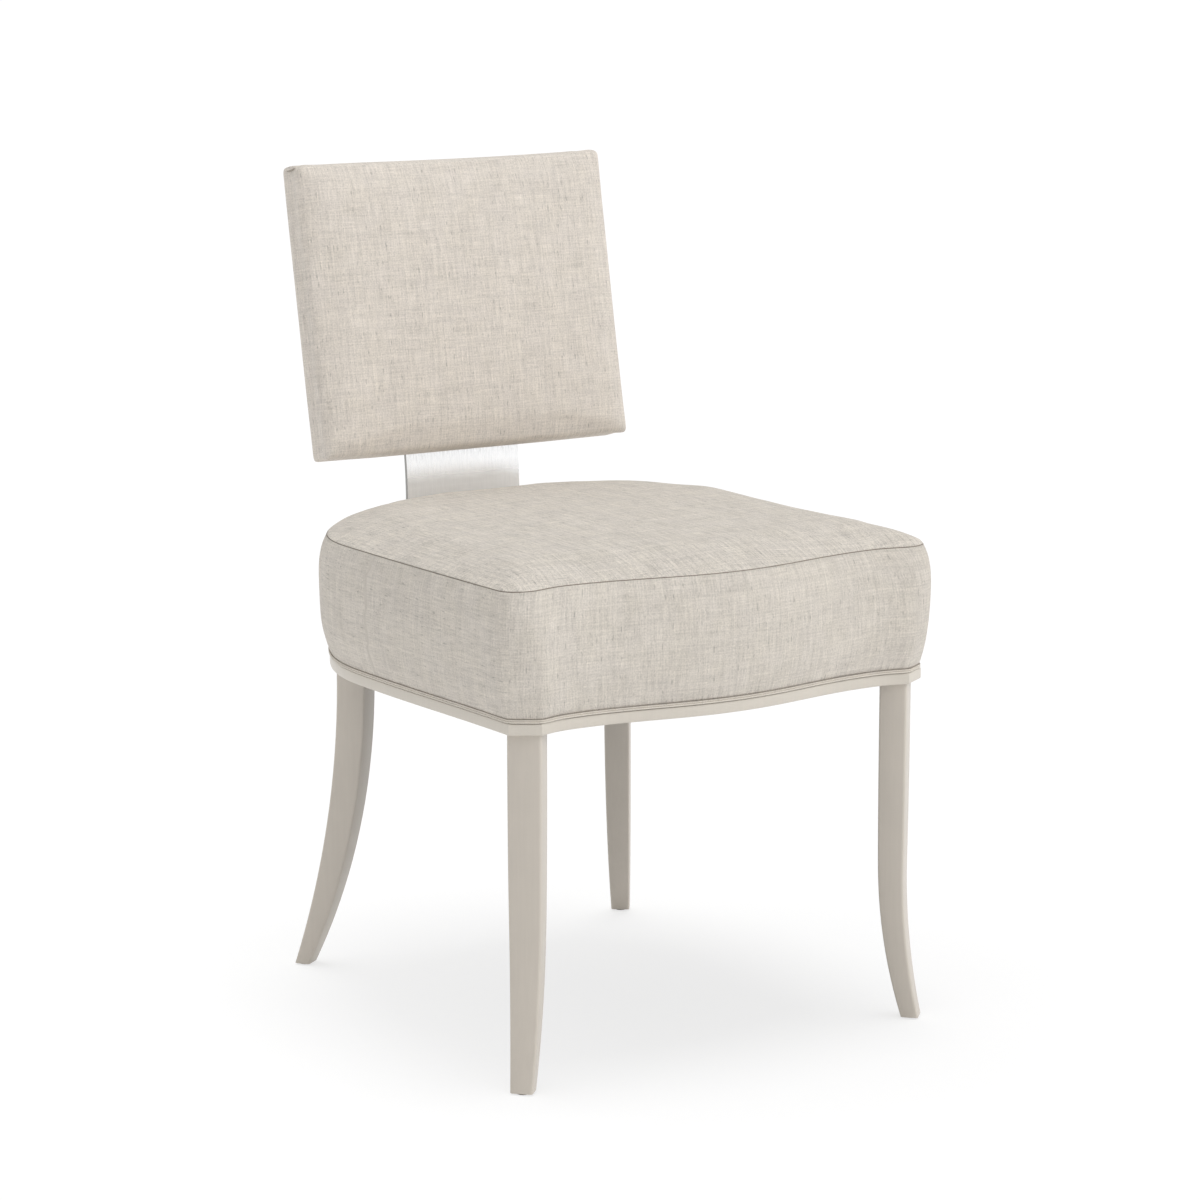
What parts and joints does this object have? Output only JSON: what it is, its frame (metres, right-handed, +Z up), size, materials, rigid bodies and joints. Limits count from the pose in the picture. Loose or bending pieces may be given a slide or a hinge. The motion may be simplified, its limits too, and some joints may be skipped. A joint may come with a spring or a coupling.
{
  "type": "klismos dining chair",
  "caption": "Armless side chair on sabre legs, with a boxed upholstered seat on a painted wood frame and an upholstered back carried by one wide bent steel strap.",
  "frame": {"origin": "on the floor, under the middle of the chair's outer box", "axes": "+Z up; -Y is the front, towards which the sitter faces; +X is the left-hand side of a sitter facing -Y"},
  "size_m": [0.5324, 0.5998, 0.8665],
  "materials": {
    "paint": "light taupe satin paint with a faint pearl on hardwood, arrises slightly eased",
    "timber": "bare sawn hardwood, hidden in the frame",
    "ply": "bare plywood, hidden in the back",
    "cloth": "light greige linen-look plain weave with slubs and small dark flecks, matt",
    "foam": "cut polyurethane foam, hidden under the cloth",
    "wadding": "bonded polyester wadding, hidden under the cloth",
    "webbing": "woven elastic webbing, hidden in the seat",
    "lining": "black non-woven dust cloth",
    "steel": "brushed stainless steel, grain along the strap",
    "zinc": "zinc-plated steel, hidden in the frame",
    "nylon": "moulded nylon"
  },
  "bodies": {
    "root": {"front_left_leg": "paint", "front_left_glide": "nylon", "front_left_corner_block": "timber", "front_left_leg_bolt": "zinc", "front_right_leg": "paint", "front_right_glide": "nylon", "front_right_corner_block": "timber", "front_right_leg_bolt": "zinc", "rear_left_leg": "paint", "rear_left_glide": "nylon", "rear_left_corner_block": "timber", "rear_left_leg_bolt": "zinc", "rear_right_leg": "paint", "rear_right_glide": "nylon", "rear_right_corner_block": "timber", "rear_right_leg_bolt": "zinc", "front_rail": "paint", "left_side_rail": "paint", "right_side_rail": "paint", "rear_rail": "paint", "long_web_1": "webbing", "cross_web_1": "webbing", "long_web_2": "webbing", "cross_web_2": "webbing", "long_web_3": "webbing", "cross_web_3": "webbing", "seat_foam": "foam", "rail_wadding": "wadding", "seat_top_panel": "cloth", "seat_boxing": "cloth", "base_band": "cloth", "dust_cover": "lining", "back_front_cover": "cloth", "back_foam": "foam", "back_edge_pad": "wadding", "back_core": "ply", "outside_back_panel": "cloth", "back_strap": "steel", "lower_strap_bolt_1": "steel", "upper_strap_bolt_1": "steel", "lower_strap_bolt_2": "steel", "upper_strap_bolt_2": "steel", "lower_strap_bolt_3": "steel", "upper_strap_bolt_3": "steel", "lower_strap_bolt_4": "steel", "upper_strap_bolt_4": "steel"}
  },
  "joints": []
}
